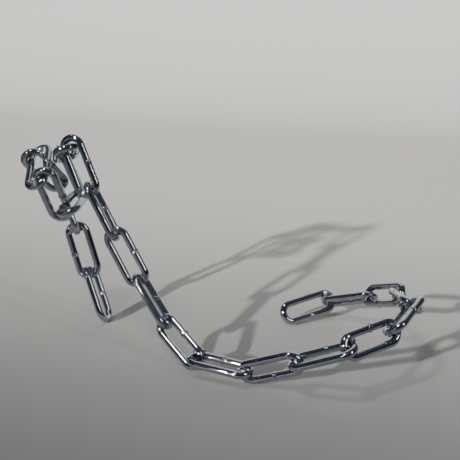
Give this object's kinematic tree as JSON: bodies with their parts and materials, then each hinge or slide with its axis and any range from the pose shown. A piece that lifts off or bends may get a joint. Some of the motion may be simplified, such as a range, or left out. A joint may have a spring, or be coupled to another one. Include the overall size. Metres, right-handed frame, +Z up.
{
  "type": "self-standing welded chain bottle holder",
  "caption": "Chain of polished steel links welded stiff: a leg and a slope carry a raised loop for a bottle's neck, and a curl of links lies on the ground as the base.",
  "frame": {"origin": "middle of the bounding box in plan, on the ground", "axes": "+Z up, +X along the chain's reach from the neck loop towards the curl of the base, +Y away from the viewer"},
  "size_m": [0.4476, 0.2264, 0.2268],
  "materials": {
    "chromed_steel": "polished bright chrome over round steel wire, with a small weld at each joint"
  },
  "bodies": {
    "root": {"base_link_1": "chromed_steel", "base_link_2": "chromed_steel", "base_link_3": "chromed_steel", "base_link_4": "chromed_steel", "base_link_5": "chromed_steel", "base_link_6": "chromed_steel", "base_link_7": "chromed_steel", "base_link_8": "chromed_steel", "base_link_9": "chromed_steel", "neck_loop_link_1": "chromed_steel", "neck_loop_link_2": "chromed_steel", "neck_loop_link_3": "chromed_steel", "neck_loop_link_4": "chromed_steel", "neck_loop_link_5": "chromed_steel", "riser_link_1": "chromed_steel", "riser_link_2": "chromed_steel", "riser_link_3": "chromed_steel", "riser_link_4": "chromed_steel", "slope_link_1": "chromed_steel", "slope_link_2": "chromed_steel", "slope_link_3": "chromed_steel", "slope_link_4": "chromed_steel", "slope_link_5": "chromed_steel"}
  },
  "joints": []
}
